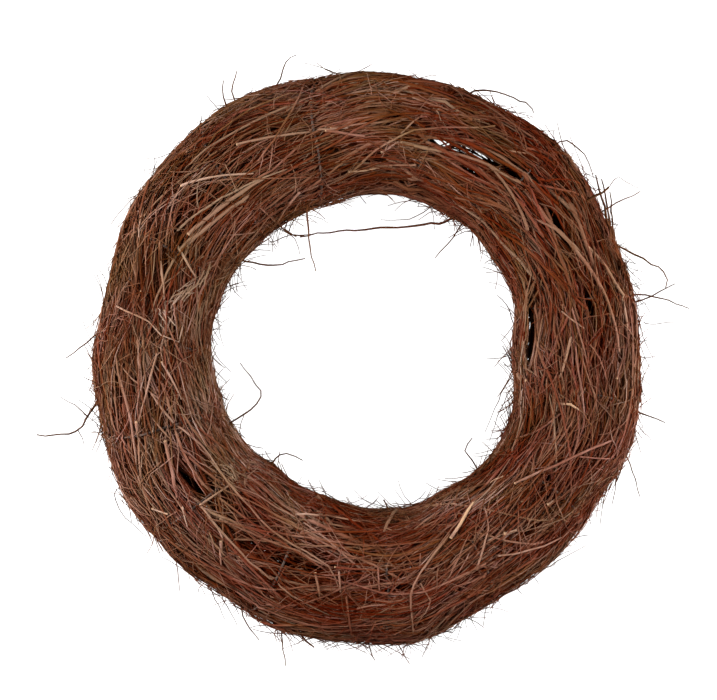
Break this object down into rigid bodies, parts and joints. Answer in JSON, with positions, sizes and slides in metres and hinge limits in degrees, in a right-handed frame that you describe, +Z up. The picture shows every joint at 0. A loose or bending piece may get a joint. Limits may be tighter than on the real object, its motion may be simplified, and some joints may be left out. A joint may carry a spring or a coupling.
{
  "type": "branch wreath",
  "caption": "Flat ring of thin dried elm branches bound with a spiral of wire, used bare or as a base for wreath decoration.",
  "frame": {"origin": "centre of the ring, on the surface that the wreath lies on", "axes": "+Z up, out of the ring's plane, with the side seen from the front facing up; +X and +Y lie in the ring's plane"},
  "size_m": [0.4087, 0.381, 0.0693],
  "materials": {
    "elm_bark": "dull dry reddish-brown bark with pale broken ends",
    "binding_wire": "dark annealed wire"
  },
  "bodies": {
    "root": {"twig_bundle_01": "elm_bark", "twig_bundle_02": "elm_bark", "twig_bundle_03": "elm_bark", "twig_bundle_04": "elm_bark", "twig_bundle_05": "elm_bark", "twig_bundle_06": "elm_bark", "twig_bundle_07": "elm_bark", "twig_bundle_08": "elm_bark", "twig_bundle_09": "elm_bark", "twig_bundle_10": "elm_bark", "twig_bundle_11": "elm_bark", "twig_bundle_12": "elm_bark", "twig_bundle_13": "elm_bark", "twig_bundle_14": "elm_bark", "binding_wire": "binding_wire"}
  },
  "joints": []
}
